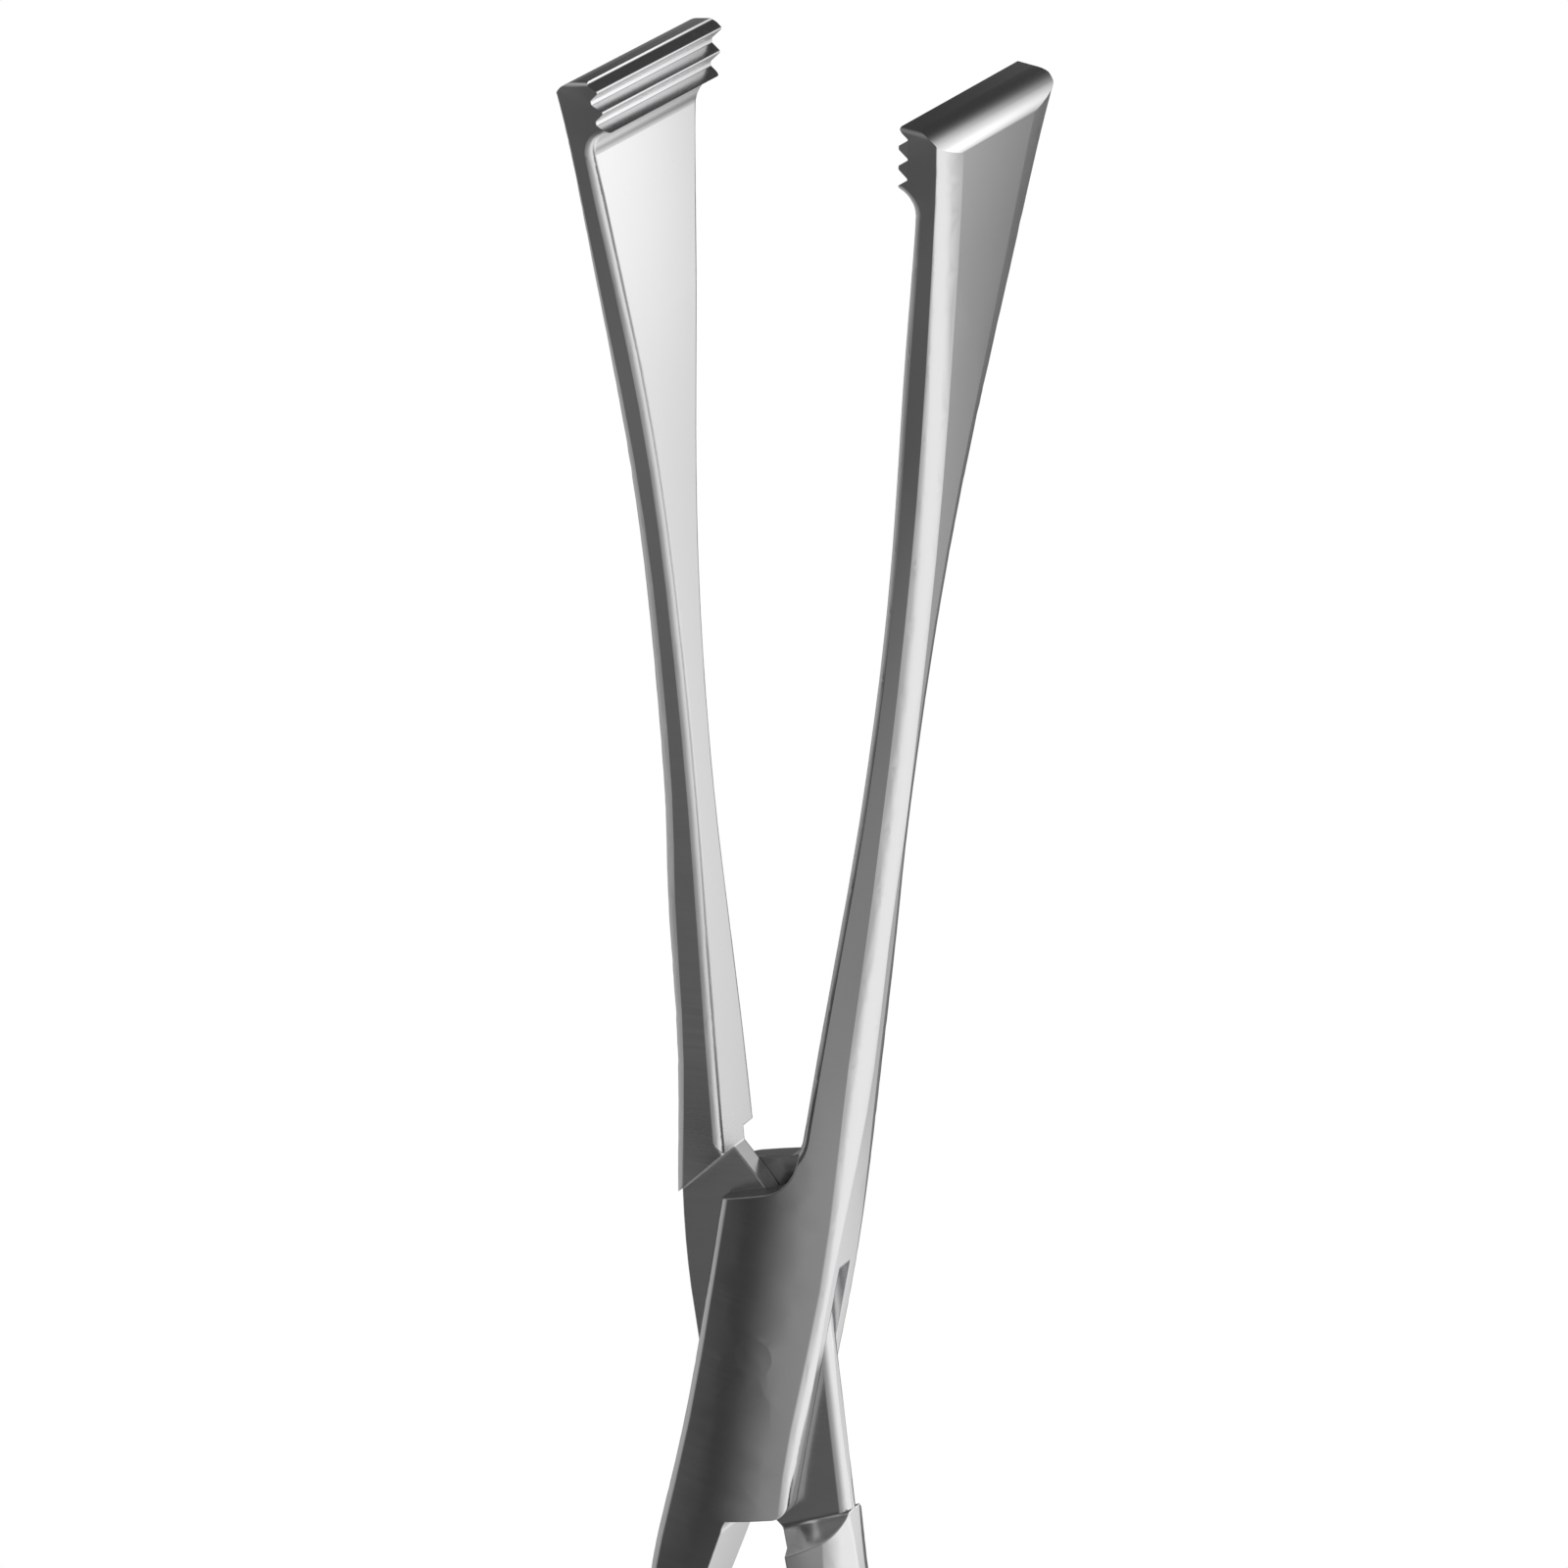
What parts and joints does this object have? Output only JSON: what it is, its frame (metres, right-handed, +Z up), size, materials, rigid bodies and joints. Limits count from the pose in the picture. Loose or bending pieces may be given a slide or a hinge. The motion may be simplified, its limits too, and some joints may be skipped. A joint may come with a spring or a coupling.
{
  "type": "box-lock grasping forceps",
  "caption": "Slender steel grasping forceps with flared toothed jaws, a pinned box-lock pivot, ratchet bars and finger rings.",
  "frame": {"origin": "midway between the two finger rings, at the height of their lowest points", "axes": "+Z up from the rings to the jaw tips, +Y along the pivot pin to the back, +X to the side of the box half's jaw"},
  "size_m": [0.0918, 0.0162, 0.1979],
  "materials": {
    "satin_steel": "satin",
    "pin_steel": "satin, ground flush"
  },
  "bodies": {
    "box_side": {"box_half": "satin_steel", "lock_pin": "pin_steel"},
    "tongue_side": {"tongue_half": "satin_steel"}
  },
  "joints": [
    {"name": "jaw_opening", "type": "hinge", "parent": "box_side", "child": "tongue_side", "pos_m": [0, 0, 0.12402], "axis": [0, -1, 0], "range_deg": [-14, 20]}
  ]
}
